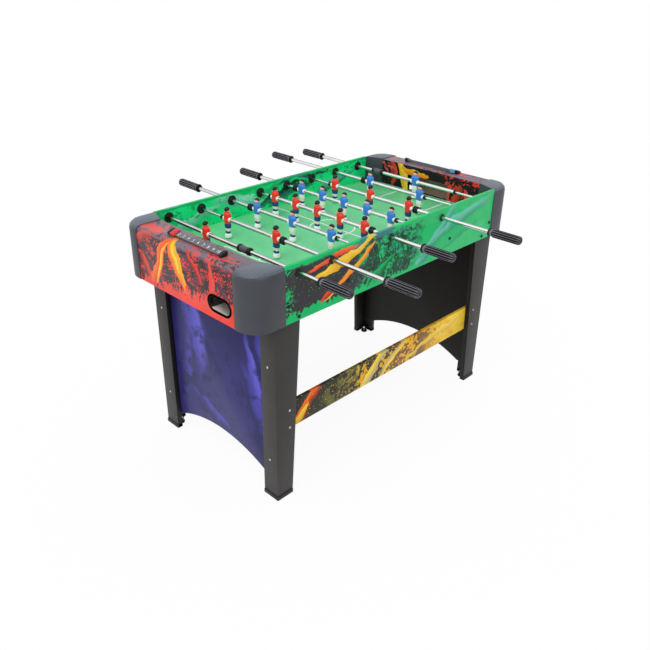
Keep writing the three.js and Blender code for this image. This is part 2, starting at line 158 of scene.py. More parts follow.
def part_of(maker):
    """The shape of a curve or text object as a part; the object is removed."""
    mesh = bpy.data.meshes.new_from_object(maker)
    part = bmesh.new()
    part.from_mesh(mesh)
    curve = maker.data
    bpy.data.meshes.remove(mesh)
    bpy.data.objects.remove(maker)
    bpy.data.curves.remove(curve)
    return part


def stadium(width, height, x, y):
    """Points round a slot with round ends."""
    steps = 16
    radius = height / 2
    straight = width / 2 - radius
    points = []
    for end in (1, -1):
        for step in range(steps + 1):
            turn = math.pi * (step / steps - 0.5 * end)
            points.append((x + end * straight + radius * math.cos(turn),
                           y + radius * math.sin(turn)))
    return points


def traced(node, edge):
    """A copy of a CAD node's shape with welded faces and rounded edges."""
    part = bmesh.new()
    part.from_mesh(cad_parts[node].data)
    bmesh.ops.scale(part, vec=(1 / MM, 1 / MM, 1 / MM), verts=part.verts)
    bmesh.ops.remove_doubles(part, verts=part.verts, dist=0.01)
    flat = math.radians(1)
    bmesh.ops.dissolve_limit(part, angle_limit=flat, verts=part.verts, edges=part.edges)
    return eased(part, edge)


class Shape:
    """A piece being drawn: closed parts that each have a look."""

    def __init__(self):
        self.mesh = bmesh.new()
        self.looks = []

    def add(self, part, look, matrix=None):
        """Take in a part with the look of that name, or with look(face) for each face."""
        if matrix:
            bmesh.ops.transform(part, matrix=matrix, verts=part.verts)
        bmesh.ops.recalc_face_normals(part, faces=part.faces)
        for face in part.faces:
            chosen = look if isinstance(look, str) else look(face)
            if chosen not in self.looks:
                self.looks.append(chosen)
            face.material_index = self.looks.index(chosen)
        copy = bpy.data.meshes.new("part")
        part.to_mesh(copy)
        part.free()
        self.mesh.from_mesh(copy)
        bpy.data.meshes.remove(copy)
        return self

    def placed(self, name, slot, nodes=(), body="table", matrix=None):
        """Finish the shape and put it in the scene as a piece."""
        piece(name, self.finished(name), body, matrix, nodes)

    def finished(self, name):
        """The drawn mesh in metres, smooth except across its sharp edges."""
        bmesh.ops.scale(self.mesh, vec=(MM, MM, MM), verts=self.mesh.verts)
        mesh = bpy.data.meshes.new(name)
        self.mesh.to_mesh(mesh)
        self.mesh.free()
        for look in self.looks:
            mesh.materials.append(LOOKS[look])
        mesh.shade_smooth()
        mesh.set_sharp_from_angle(angle=math.radians(SMOOTH_ANGLE))
        return mesh


def shown(name, data):
    """A new object in the scene."""
    made = bpy.data.objects.new(name, data)
    bpy.context.scene.collection.objects.link(made)
    return made


def piece(name, mesh, body, matrix=None, nodes=()):
    """Put a mesh in the scene as a piece that rides on a body and stands for CAD nodes."""
    made = shown(name, mesh)
    if matrix:
        made.matrix_world = matrix
    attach(made, body)
    if nodes:
        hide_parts(*nodes)


# ---- materials


def rgb(red, green, blue):
    """A colour given by its 0 to 255 screen values, as the linear colour Blender uses."""
    linear = []
    for value in (red, green, blue):
        part = value / 255
        linear.append(part / 12.92 if part <= 0.04045 else ((part + 0.055) / 1.055) ** 2.4)
    return (*linear, 1)


class Nodes:
    """Adds nodes to a tree. A value is a socket to link or a constant to set."""

    def __init__(self, tree):
        self.tree = tree

    def fill(self, node, values):
        for name, value in values.items():
            if isinstance(value, bpy.types.NodeSocket):
                self.tree.links.new(value, node.inputs[name])
            else:
                node.inputs[name].default_value = value

    def node(self, kind, values, **settings):
        made = self.tree.nodes.new(kind)
        for name, value in settings.items():
            setattr(made, name, value)
        self.fill(made, values)
        return made

    def math(self, operation, first, second=0, third=0):
        values = {0: first, 1: second, 2: third}
        return self.node("ShaderNodeMath", values, operation=operation).outputs[0]

    def scaled(self, value, factor, offset):
        return self.math("MULTIPLY_ADD", value, factor, offset)

    def minus(self, first, second):
        return self.math("SUBTRACT", first, second)

    def either(self, first, second):
        return self.math("MAXIMUM", first, second)

    def times(self, first, second):
        return self.math("MULTIPLY", first, second)

    def in_sight(self):
        """1 for what the camera sees, also in metal or through glass; 0 for light."""
        path = self.node("ShaderNodeLightPath", {}).outputs
        mirrored = self.either(path["Is Glossy Ray"], path["Is Transmission Ray"])
        return self.either(path["Is Camera Ray"], mirrored)


class Look(Nodes):
    """A node material under construction. Places in it are in millimetres."""

    def __init__(self, roughness=0.45, metallic=0, specular=0.3):
        self.material = bpy.data.materials.new("look")
        self.material.use_nodes = True
        super().__init__(self.material.node_tree)
        self.shader = self.tree.nodes["Principled BSDF"]
        values = {"Roughness": roughness, "Metallic": metallic, "Specular IOR Level": specular}
        self.fill(self.shader, values)
        self.object = self.node("ShaderNodeTexCoord", {}).outputs
        self.place = self.vector("MULTIPLY", self.object["Object"], (1 / MM, 1 / MM, 1 / MM))

    def vector(self, operation, first, second=(0, 0, 0)):
        values = {0: first, 1: second}
        made = self.node("ShaderNodeVectorMath", values, operation=operation)
        return made.outputs[1 if operation == "LENGTH" else 0]

    def split(self, vector):
        return self.node("ShaderNodeSeparateXYZ", {"Vector": vector}).outputs

    def joined(self, x, y, z=0):
        return self.node("ShaderNodeCombineXYZ", {"X": x, "Y": y, "Z": z}).outputs["Vector"]

    def noise(self, size, detail=3, place=None, colour=False):
        """Cloudy noise whose patches are about the given size."""
        values = {"Vector": place or self.place, "Scale": 1 / size, "Detail": detail}
        made = self.node("ShaderNodeTexNoise", values)
        return made.outputs["Color" if colour else "Fac"]

    def mask(self, value, start, end):
        """0 below the start and 1 above the end; the other way round if the end is lower."""
        values = {"Value": value, "From Min": start, "From Max": end}
        made = self.node("ShaderNodeMapRange", values, interpolation_type="SMOOTHSTEP")
        return made.outputs["Result"]

    def mix(self, factor, first, second):
        values = {0: factor, 6: first, 7: second}
        return self.node("ShaderNodeMix", values, data_type="RGBA").outputs[2]

    def wear(self, colour, amount=0.12, size=60):
        """Slow lighter and darker drifts in a colour."""
        drift = self.mask(self.noise(size), 0.3, 0.7)
        value = self.scaled(drift, amount, 1 - amount / 2)
        values = {"Color": colour, "Value": value}
        return self.node("ShaderNodeHueSaturation", values).outputs["Color"]

    def finish(self, colour, rough=None, height=None, depth=0.2):
        """Link the colour, a (low, high, value) roughness range and the bump height."""
        values = {"Base Color": colour}
        if rough:
            low, high, value = rough
            values["Roughness"] = self.scaled(value, high - low, low)
        if height:
            bump = self.node("ShaderNodeBump", {"Height": height, "Distance": depth * MM})
            values["Normal"] = bump.outputs["Normal"]
        self.fill(self.shader, values)
        return self.material

    def grained(self, colour, rough, grain, depth):
        """Finish with a fine grain that shows in the roughness and the height."""
        fine = self.noise(grain, 2)
        return self.finish(colour, (*rough, fine), fine, depth)


def moulded(colour, rough, grain=0.8, depth=0.05, drift=0.15, specular=0.3):
    """Moulded plastic or rubber: a fine grain, with slow drifts in its colour."""
    look = Look(specular=specular)
    return look.grained(look.wear(rgb(*colour), drift), rough, grain, depth)


def bare_metal(colour, rough=(0.08, 0.2)):
    """Polished metal with faint lines along the rod, and a painted dark reflection that deepens
    towards its edges as seen.
    """
    look = Look(metallic=1)
    x, y, z = look.split(look.place)
    lines = look.noise(1, 3, look.joined(x, look.times(y, 0.02), z))
    # Painted reflection: the colour turns dark grey towards the edges as seen from the camera.
    edge = look.node("ShaderNodeLayerWeight", {"Blend": 0.5}).outputs["Facing"]
    shade = look.mix(look.mask(edge, 0.12, 0.85), rgb(*colour), rgb(70, 74, 78))
    return look.finish(look.wear(shade, 0.08, 30), (*rough, lines), lines, 0.01)


def cap_moulding():
    """Grained plastic, paler where it faces up: a painted highlight on its top faces."""
    look = Look()
    # Painted highlight: faces that point up mix towards a paler grey than the sides.
    upward = look.mask(look.split(look.object["Normal"])[2], 0.1, 1)
    shade = look.mix(upward, rgb(62, 65, 71), rgb(98, 106, 118))
    return look.grained(look.wear(shade, 0.1), (0.36, 0.5), 1.1, 0.06)


class Print(Look):
    """A vinyl print of paint strokes, runs and spatter on a flat ground.

    It runs along the axis (0 for X, 1 for Y) and up; a wrapped one carries on over the
    top edge of an end box towards the playfield.
    """

    def __init__(self, ground, axis=0, wrapped=False):
        super().__init__(specular=0.15)
        warp = self.vector("SUBTRACT", self.noise(85, 2, colour=True), (0.5, 0.5, 0.5))
        places = self.split(self.place)
        self.across = places[axis]
        self.up = places[2]
        if wrapped:
            inward = self.minus(END_OUTER, self.math("ABSOLUTE", places[0]))
            self.up = self.math("ADD", self.up, inward)
        flat = self.joined(self.across, self.up)
        self.flat = self.vector("ADD", flat, self.vector("MULTIPLY", warp, (55, 55, 0)))
        self.ragged = self.noise(4, 4)
        self.colour = ground

    def paint(self, mask, colour):
        self.colour = self.mix(mask, self.colour, colour)

    def strokes(self, rows, turn=1, soft=0.04):
        """Brush strokes that blend into an accent colour; a turn of -1 swaps left and right."""
        limit = 1.4
        for (across, up), length, width, angle, colour, accent, bend in rows:
            values = {
                "Vector": self.flat,
                "Location": (turn * across, up, 0),
                "Rotation": (0, 0, math.radians(turn * angle)),
                "Scale": (length / 2, width / 2, 1),
            }
            local = self.node("ShaderNodeMapping", values, vector_type="TEXTURE").outputs[0]
            along, side, _ = self.split(local)
            side = self.scaled(self.times(along, along), turn * bend, side)
            bristles = self.noise(0.14, 3, self.joined(self.times(along, 0.07), side))
            edge = self.vector("LENGTH", self.joined(along, side))
            edge = self.scaled(bristles, 0.5, edge)
            edge = self.scaled(self.ragged, 0.3, edge)
            tone = self.scaled(side, 0.4, bristles)
            blend = self.mix(self.mask(tone, 0.15, 0.85), colour, accent)
            self.paint(self.mask(edge, limit + soft, limit - soft), blend)

    def zone(self, value, start, end, ragged=60):
        """A mask that rises from the start to the end with a torn edge."""
        torn = self.minus(self.noise(30, 6), 0.5)
        return self.mask(self.scaled(torn, ragged, value), start, end)

    def runs(self, level, height, colour, slope):
        """Paint splashed up from the lower edge in uneven fingers; slope tilts its level."""
        squashed = self.joined(self.across, self.times(self.up, 0.22))
        fingers = self.noise(13, 5, squashed)
        reach = self.scaled(fingers, 4 * height, level - 2 * height)
        reach = self.scaled(self.across, slope, reach)
        gap = self.minus(reach, self.up)
        self.paint(self.mask(gap, -1.5, 1.5), colour)

    def mottle(self, size, share, region, colour, soft=0.02):
        """Torn patches of a colour about the given size, in clumps, inside a region mask."""
        clump = self.noise(5 * size, 1, self.flat)
        patches = self.scaled(clump, 0.6, self.noise(size, 6, self.flat))
        edge = 1.3 - share
        self.paint(self.times(self.mask(patches, edge - soft, edge + soft), region), colour)

    def spatter(self, size, share, region, colour):
        """Drops of paint about the given size, inside a region mask."""
        values = {"Vector": self.flat, "Scale": 1 / size}
        cells = self.node("ShaderNodeTexVoronoi", values).outputs["Distance"]
        drops = self.scaled(self.ragged, 0.35, cells)
        self.paint(self.times(self.mask(drops, share + 0.03, share - 0.03), region), colour)

    def done(self):
        return self.grained(self.wear(self.colour, 0.14, 90), (0.3, 0.42), 2.5, 0.03)


EVERYWHERE = 1
CHARCOAL = rgb(56, 54, 57)
GREEN = rgb(14, 187, 105)
LIME = rgb(36, 194, 108)
DEEP_GREEN = rgb(24, 84, 54)
SHADE_GREEN = rgb(22, 50, 38)
TEAL = rgb(40, 140, 118)
SOFT_TEAL = rgb(34, 158, 112)
PALE_TEAL = rgb(104, 200, 176)
BLUE = rgb(56, 112, 134)
YELLOW = rgb(236, 176, 36)
GOLD = rgb(250, 212, 66)
ORANGE = rgb(250, 118, 36)
RED = rgb(238, 66, 52)
MAROON = rgb(150, 52, 38)
MAUVE = rgb(124, 110, 120)
ROSE = rgb(212, 86, 82)
PLUM = rgb(92, 62, 74)
VIOLET = rgb(98, 94, 204)
LILAC = rgb(74, 70, 166)
INDIGO = rgb(38, 36, 92)
TAUPE = rgb(188, 174, 128)
BLACK = rgb(28, 26, 27)


def panel_print(side):
    """Side panel: dark and stroked at the left as it is seen, bright green at the right."""
    look = Print(CHARCOAL)
    seen = look.times(look.across, side)
    middle = look.times(look.zone(seen, -230, -140, 160), look.zone(seen, 110, 50))
    look.paint(look.zone(seen, -230, -60, 220), DEEP_GREEN)
    look.mottle(22, 0.44, middle, TEAL, 0.12)
    look.mottle(11, 0.44, middle, GREEN, 0.06)
    look.mottle(6, 0.42, middle, SHADE_GREEN, 0.05)
    look.paint(look.zone(seen, 60, 100, 130), GREEN)
    look.mottle(60, 0.42, look.zone(seen, 120, 240), LIME, 0.12)
    look.mottle(9, 0.46, look.zone(seen, -455, -485, 50), GREEN)
    look.paint(look.zone(look.up, TOP - 14, TOP - 7, 26), GREEN)
    look.strokes([
        ((-160, 768), 230, 24, 3, BLUE, TEAL, 0.1),
        ((-262, 740), 250, 24, 12, YELLOW, GOLD, 0.2),
        ((-305, 757), 190, 18, 7, RED, ORANGE, -0.1),
        ((-225, 700), 200, 17, 27, ORANGE, YELLOW, 0.3),
        ((-300, 660), 160, 14, 38, YELLOW, ORANGE, -0.3),
        ((-352, 634), 130, 20, 34, MAROON, RED, 0.2),
        ((-105, 660), 150, 22, 30, DEEP_GREEN, GREEN, 0.2),
    ], side)
    look.strokes([
        ((150, 676), 300, 40, 40, TEAL, PALE_TEAL, 0.5),
        ((272, 716), 400, 40, 17, SOFT_TEAL, PALE_TEAL, 0.6),
        ((300, 668), 230, 20, 16, SOFT_TEAL, GREEN, 0.4),
    ], side, 0.2)
    look.runs(APRON_BOTTOM + 14, 16, GREEN, side * -0.03)
    look.spatter(10, 0.3, look.zone(seen, -60, -160), GREEN)
    return look.done()


def inner_panel_print():
    """Green inner face with darker clouds, teal sweeps and a few dark patches."""
    # Painted light: this green ground is paler and brighter than the outer panels' green, standing
    # in for light that the inside of the table lacks.
    look = Print(rgb(30, 236, 146))
    look.mottle(80, 0.4, EVERYWHERE, rgb(24, 186, 110), 0.1)
    mint = rgb(150, 236, 208)
    look.strokes([
        ((-330, 724), 190, 34, 16, PALE_TEAL, mint, 0.3),
        ((-150, 744), 230, 40, -12, PALE_TEAL, mint, 0.3),
        ((60, 726), 260, 38, 9, TEAL, SHADE_GREEN, 0.3),
        ((150, 768), 240, 22, 0, BLUE, SHADE_GREEN, 0.1),
        ((330, 722), 220, 30, 12, TEAL, PALE_TEAL, 0.3),
    ], 1, 0.15)
    look.mottle(22, 0.34, look.zone(look.across, -60, 40, 120), SHADE_GREEN, 0.05)
    look.mottle(12, 0.36, EVERYWHERE, GREEN, 0.05)
    look.paint(look.zone(look.up, TOP - 10, TOP - 5, 10), GREEN)
    return look.done()


def end_print(facing):
    """End box: dark spattered ground with orange strokes, red runs and a greyed top."""
    look = Print(CHARCOAL, 1, wrapped=True)
    look.mottle(40, 0.46, EVERYWHERE, PLUM, 0.05)
    look.mottle(6.5, 0.42, EVERYWHERE, RED)
    look.mottle(4, 0.36, EVERYWHERE, PLUM)
    top = look.zone(look.up, TOP - 14, TOP + 4, 26)
    look.paint(top, MAUVE)
    look.mottle(40, 0.42, top, ROSE, 0.05)
    look.mottle(14, 0.4, top, PLUM)
    look.strokes([
        ((172, 762), 90, 26, -24, MAROON, ROSE, 0.3),
        ((98, 704), 220, 36, -60, RED, ORANGE, 0.2),
        ((84, 700), 170, 16, -62, ORANGE, GOLD, 0.2),
        ((6, 716), 190, 44, 66, ORANGE, YELLOW, -0.3),
        ((12, 735), 110, 18, 70, YELLOW, GOLD, -0.3),
        ((168, 664), 90, 26, 64, MAROON, RED, 0.3),
        ((-70, 742), 120, 18, 52, MAROON, RED, 0.2),
        ((-150, 706), 130, 22, 86, RED, ROSE, 0.2),
    ], -facing, 0.07)
    if facing < 0:
        look.strokes([
            ((170, TOP + 30), 100, 44, 8, ROSE, RED, 0.2),
            ((-110, TOP + 48), 190, 15, -9, ROSE, RED, 0.4),
            ((-175, TOP + 30), 110, 12, -14, RED, ROSE, 0.3),
        ], 1, 0.07)
    look.runs(APRON_BOTTOM + 36, 32, RED, facing * 0.13)
    return look.done()


def inner_end_print():
    """Wall behind the goal: black with yellow and red strokes."""
    look = Print(BLACK, 1)
    look.strokes([
        ((96, 736), 130, 40, 66, YELLOW, GOLD, 0.4),
        ((45, 758), 130, 28, 8, ORANGE, YELLOW, -0.2),
        ((150, 735), 90, 30, 80, MAROON, RED, 0.2),
        ((-120, 712), 90, 26, 80, RED, ROSE, 0.2),
        ((-160, 720), 80, 24, 100, RED, MAROON, 0.2),
        ((-195, 705), 80, 20, 70, RED, ROSE, 0.2),
    ])
    look.mottle(9, 0.44, look.zone(look.across, -60, -120), RED)
    look.mottle(12, 0.4, look.zone(look.across, 110, 150), ROSE)
    return look.done()


def leg_panel_print():
    """Indigo panel with broad, soft violet sweeps."""
    look = Print(INDIGO, 1)
    look.paint(look.zone(look.up, 600, 200, 160), rgb(52, 49, 112))
    look.strokes([
        ((110, 520), 420, 90, 70, LILAC, VIOLET, 0.5),
        ((-245, 540), 330, 74, 82, LILAC, VIOLET, -0.4),
        ((150, 300), 260, 60, 100, INDIGO, LILAC, 0.3),
        ((-196, 400), 240, 40, 78, LILAC, VIOLET, 0.4),
        ((-210, 250), 330, 60, 72, INDIGO, LILAC, 0.4),
        ((20, 160), 230, 44, 24, INDIGO, LILAC, 0.4),
    ], 1, 0.25)
    look.mottle(50, 0.44, EVERYWHERE, INDIGO, 0.1)
    return look.done()


def stretcher_print(side):
    """Dark and spattered at the left as it is seen, golden at the right."""
    look = Print(rgb(58, 58, 50))
    seen = look.times(look.across, side)
    look.mottle(30, 0.5, look.zone(seen, -340, -280, 80), rgb(108, 104, 62), 0.05)
    look.paint(look.zone(seen, 0, 50, 120), rgb(128, 92, 62))
    look.mottle(15, 0.46, look.zone(seen, -280, -80, 160), YELLOW)
    look.paint(look.zone(seen, 190, 330, 200), GOLD)
    look.mottle(60, 0.42, look.zone(seen, 160, 260), YELLOW, 0.12)
    look.strokes([
        ((-395, 282), 170, 46, 34, MAROON, ORANGE, 0.3),
        ((-430, 258), 120, 26, 30, YELLOW, GOLD, 0.2),
        ((-70, 286), 220, 40, 44, TAUPE, GOLD, 0.3),
        ((20, 282), 170, 26, 36, GOLD, TAUPE, 0.2),
        ((250, 284), 300, 24, 10, rgb(226, 190, 84), GOLD, 0.3),
    ], side, 0.08)
    look.spatter(12, 0.34, look.zone(seen, -330, -240), YELLOW)
    look.spatter(8, 0.3, look.zone(seen, 240, 90, 120), GOLD)
    return look.done()


def field_look():
    """Green playfield with white lines."""
    look = Look(specular=0.25)
    x, y, _ = look.split(look.place)
    far_x = look.math("ABSOLUTE", x)
    from_middle = look.minus(y, MIDDLE_Y)
    far_y = look.math("ABSOLUTE", from_middle)
    ring = look.vector("LENGTH", look.joined(x, from_middle))

    def line(distance):
        """A line where the distance is zero."""
        return look.mask(look.math("ABSOLUTE", distance), 3.2, 2.2)

    centre_circle = 75
    spot = 5.5
    area_front = END_INNER - 153
    area_half = 107
    arc_centre = END_INNER - 115
    arc_radius = 62
    area = look.either(look.minus(area_front, far_x), look.minus(far_y, area_half))
    arc = look.vector("LENGTH", look.joined(look.minus(far_x, arc_centre), from_middle))
    outside_area = look.mask(far_x, area_front + 1, area_front - 1)
    lines = line(x)
    for mark in (line(look.minus(ring, centre_circle)), look.mask(ring, spot + 0.5, spot - 0.5),
                 line(area), look.times(line(look.minus(arc, arc_radius)), outside_area)):
        lines = look.either(lines, mark)
    clouds = look.noise(70, 4)
    grass = look.mix(clouds, rgb(84, 202, 130), rgb(134, 232, 174))
    grass = look.mix(look.mask(look.noise(1.6, 3), 0.3, 0.8), grass, rgb(110, 218, 152))
    shade = look.mix(lines, grass, rgb(244, 252, 244))
    return look.grained(shade, (0.32, 0.46), 1.2, 0.03)


def ramp_look():
    """Ramp painted dark as shade inside the box, with a pale painted patch of light towards the
    ball return.
    """
    look = Look()
    from_middle = look.minus(look.split(look.place)[1], MIDDLE_Y)
    # Painted light and shade: the rest mask is 1 further than 128 mm from the middle, towards the
    # ball return, where a pale patch stands for light falling in; nearer the goal the ramp is
    # painted dark as shade.
    rest = look.mask(look.math("ABSOLUTE", from_middle), 127, 129)
    shade = look.mix(rest, rgb(44, 41, 38), rgb(206, 196, 190))
    return look.grained(look.wear(shade), (0.4, 0.55), 0.8, 0.05)


def wood_fibre(colour):
    """Bare pressed board."""
    look = Look()
    fibres = look.noise(2.5, 6)
    shade = look.mix(fibres, rgb(*colour), rgb(*(0.72 * part for part in colour)))
    return look.finish(shade, (0.7, 0.9, fibres), fibres, 0.15)


LOOKS = {
    "cap": cap_moulding(),
    "front_print": panel_print(1),
    "back_print": panel_print(-1),
    "inner_green": inner_panel_print(),
    "left_end": end_print(-1),
    "right_end": end_print(1),
    "inner_end": inner_end_print(),
    "field": field_look(),
    "leg_panel": leg_panel_print(),
    "front_stretcher": stretcher_print(1),
    "back_stretcher": stretcher_print(-1),
    "raw": wood_fibre((150, 118, 84)),
    # Painted light: the wall behind the goal is the same pressed board as raw, made much paler to
    # stand for light inside the goal.
    "channel_wall_painted_lit": wood_fibre((236, 206, 180)),
    "ramp": ramp_look(),
    "chrome": bare_metal((250, 250, 253)),
    "screw": bare_metal((222, 222, 220), (0.18, 0.32)),
}

# Each row holds what moulded() takes.
MOULDED = {
    "leg": ((54, 52, 51), (0.42, 0.56), 1.5, 0.04, 0.12),
    "dark_board": ((24, 22, 20), (0.45, 0.6), 1.8, 0.05, 0.15, 0.2),
    "foot": ((30, 30, 32), (0.4, 0.55)),
    "black": ((22, 22, 24), (0.3, 0.45)),
    # The grip row's pale grey is a painted highlight, given to the ridges and the neck of a black
    # grip.
    "grip": ((112, 110, 121), (0.22, 0.34), 0.6, 0.04, 0.2, 0.5),
    "grip_cell": ((20, 19, 23), (0.4, 0.5), 0.6, 0.04, 0.15, 0.25),
    "rubber": ((24, 24, 26), (0.4, 0.55), 0.7, 0.06),
    "grey_band": ((84, 84, 92), (0.35, 0.5)),
    "rail": ((104, 106, 114), (0.35, 0.5)),
    "number": ((238, 238, 238), (0.5, 0.6)),
    "marker_red": ((210, 44, 40), (0.28, 0.42)),
    "marker_blue": ((108, 172, 222), (0.28, 0.42)),
    "skin": ((252, 206, 182), (0.3, 0.42)),
    "hair": ((24, 21, 20), (0.32, 0.45)),
    "red_shirt": ((252, 58, 42), (0.26, 0.38), 0.8, 0.05, 0.15, 0.4),
    "blue_shirt": ((64, 132, 224), (0.26, 0.38), 0.8, 0.05, 0.15, 0.4),
    "navy": ((34, 70, 134), (0.3, 0.42)),
    "cream": ((255, 246, 236), (0.3, 0.42), 0.8, 0.05, 0.05),
    "white": ((255, 255, 255), (0.28, 0.4), 0.8, 0.05, 0.05),
}
LOOKS.update({name: moulded(*finish) for name, finish in MOULDED.items()})
for look_name, look_made in LOOKS.items():
    look_made.name = look_name


# ---- playfield and boards


def add_playfield():
    low, high = FIELD_LOW, FIELD_HIGH
    thickness = 6
    battens = (-247, 247)
    batten_half = 12
    shape = Shape()

    def side(face):
        return "field" if face.normal.z > 0.5 else "raw"

    shape.add(board((low.x, low.y, high.z - thickness), high, 0.5), side)
    for x in battens:
        corner = (x - batten_half, low.y, low.z)
        opposite = (x + batten_half, high.y, high.z - thickness)
        shape.add(board(corner, opposite), "raw")
    shape.placed("playfield_board", "playfield", ["playfield"])


def bolt(radius=5.5, height=2.4):
    """Socket bolt head about the Y axis, its face towards +Y."""
    socket = 0.46 * radius
    profile = [(-1, radius), (height - 0.7, radius), (height, radius - 0.7),
               (height, socket), (height - 1.3, socket * 0.9)]
    return turned(profile, 24)


def facing_y(x, y, z, side):
    """Matrix that puts a part made towards +Y at a place, facing +Y or -Y."""
    turn = Matrix.Identity(4) if side > 0 else Matrix.Rotation(math.pi, 4, "Z")
    return Matrix.Translation((x, y, z)) @ turn


def facing_x(x, y, z, side):
    """Matrix that puts a part made towards +Y at a place, facing +X or -X."""
    return Matrix.Translation((x, y, z)) @ Matrix.Rotation(-side * math.pi / 2, 4, "Z")


def bearing(bore, through):
    """Rod bearing about the Y axis with its flange towards -Y, from the inner panel face."""
    flange = 4
    flange_radius = 17
    nut = 3
    nut_radius = 12
    sleeve = 9
    collar = 10.5
    profile = [(-flange - 0.2, bore + 0.8), (-flange, collar), (-flange + 1.2, collar + 0.8),
               (-flange + 1.4, flange_radius - 1), (-flange + 2.2, flange_radius),
               (0, flange_radius)]
    if through:
        profile += [(0, sleeve), (BOARD, sleeve), (BOARD, nut_radius),
                    (BOARD + nut - 0.8, nut_radius), (BOARD + nut, nut_radius - 0.8),
                    (BOARD + nut, bore + 0.8)]
    profile += [(BOARD + nut - 0.8 if through else 0, bore), (-flange + 0.6, bore)]
    return turned(profile, 40, hollow=True)


RODS = range(1, 9)
FRONT_RODS = (1, 2, 4, 6)
MEN = {1: 1, 2: 2, 3: 3, 4: 5, 5: 5, 6: 3, 7: 2, 8: 1}


def rod_x(rod):
    low, high = box(f"rod_{rod}_inner_rod")
    return (low.x + high.x) / 2


def handle_side(rod):
    return -1 if rod in FRONT_RODS else 1


def add_side_panel(name, side):
    """One long side: board with print, rod bearings and bolts."""
    hole = 9.3
    outline = [(-PANEL_END, APRON_BOTTOM), (PANEL_END, APRON_BOTTOM),
               (PANEL_END, TOP), (-PANEL_END, TOP)]
    handles = [rod for rod in RODS if handle_side(rod) == side]
    holes = [circle(hole, rod_x(rod), ROD_Z) for rod in handles]
    outer_y = MIDDLE_Y + side * PANEL_OUTER
    inner_y = MIDDLE_Y + side * PANEL_INNER
    printed = "front_print" if side < 0 else "back_print"

    def side_look(face):
        if face.normal.y * side < -0.5:
            return "inner_green"
        return "raw" if face.normal.z < -0.9 else printed

    shape = Shape()
    flat = Matrix.Translation((0, (outer_y + inner_y) / 2, 0)) @ ALONG_Y
    shape.add(plate([outline, *holes], BOARD, 1.2), side_look, flat)
    shape.placed(name + "_board", "side_panel", [name])

    for rod in RODS:
        through = rod in handles
        shape = Shape()
        ring = bearing(TUBE_RADIUS + 0.25 if through else 4.25, through)
        shape.add(ring, "black", facing_y(rod_x(rod), inner_y, ROD_Z, side))
        shape.placed(f"{name}_bearing_{rod}", "side_panel")

    shape = Shape()
    for x, z in ((483, 663), (445, 621), (247, 665)):
        for end in (-1, 1):
            shape.add(bolt(), "black", facing_y(end * x, outer_y, z, side))
    shape.placed(name + "_bolts", "side_panel")


def add_end_box(name, side):
    """One end: wrapped box with goal, ball return, its black rim and the ramp."""
    outer = "left_end" if side < 0 else "right_end"
    return_drop = 121.5
    return_offset = 164
    width = 90
    height = 40
    rim = 7
    skin = 3
    top_round = 25

    def end_look(face):
        centre = face.calc_center_median()
        reach = side * centre.x
        out = side * face.normal.x
        upward = face.normal.z > 0.5
        outermost = reach > END_OUTER - top_round
        if reach > END_OUTER + 0.5:
            return "black"
        if (out > 0.2 and outermost) or (upward and centre.z > TOP - top_round):
            return outer
        if reach < END_INNER + skin:
            return "inner_end"
        # The inside face of the outer wall takes the pale board look, painted light behind the
        # goal.
        if out < -0.5 and outermost:
            return "channel_wall_painted_lit"
        return "ramp" if upward and centre.z < FIELD_TOP else "dark_board"

    Shape().add(traced(name, 0.7), end_look).placed(name + "_wrap", "end_box", [name])

    y = MIDDLE_Y + side * return_offset
    z = TOP - return_drop
    lip = 1.6
    outlines = [stadium(width + 2 * rim, height + 2 * rim, y, z),
                stadium(width - 1, height - 1, y, z)]
    flat = Matrix.Translation((side * (END_OUTER + lip / 2), 0, 0)) @ ALONG_X
    ring = Shape().add(plate(outlines, lip + 0.8, 0.7), "black", flat)
    ring.placed(name + "_rim", "end_box")


def add_corner_cap(name):
    cap = Shape().add(traced(name, 0.9), "cap")
    cap.placed(name + "_moulding", "corner_cap", [name])


# ---- stand


